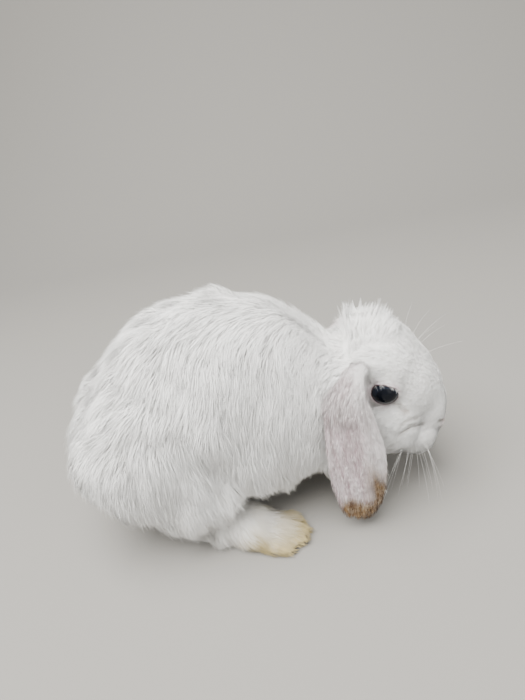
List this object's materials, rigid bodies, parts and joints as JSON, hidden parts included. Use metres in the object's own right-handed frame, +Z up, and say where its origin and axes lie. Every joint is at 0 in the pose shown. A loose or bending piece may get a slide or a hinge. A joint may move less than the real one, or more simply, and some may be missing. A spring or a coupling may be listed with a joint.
{
  "type": "young lop rabbit, still model",
  "caption": "White young lop rabbit sitting low on all fours, ears hanging beside the head, life-size still model that rests on its four soles.",
  "frame": {"origin": "centre of the footprint, on the floor under the soles", "axes": "+X from the rump to the nose, +Y to the rabbit's left, +Z up"},
  "size_m": [0.2398, 0.1202, 0.1463],
  "materials": {
    "white_coat": "soft fur",
    "ear_skin": "thinly haired skin",
    "eye_dark": "wet gloss"
  },
  "bodies": {
    "root": {"head": "white_coat", "neck": "white_coat", "trunk": "white_coat", "tail": "white_coat", "haunch_left": "white_coat", "haunch_right": "white_coat", "hind_foot_left": "white_coat", "hind_foot_right": "white_coat", "foreleg_left": "white_coat", "foreleg_right": "white_coat", "ear_left": "ear_skin", "ear_right": "ear_skin", "eye_left": "eye_dark", "eye_right": "eye_dark"}
  },
  "joints": []
}
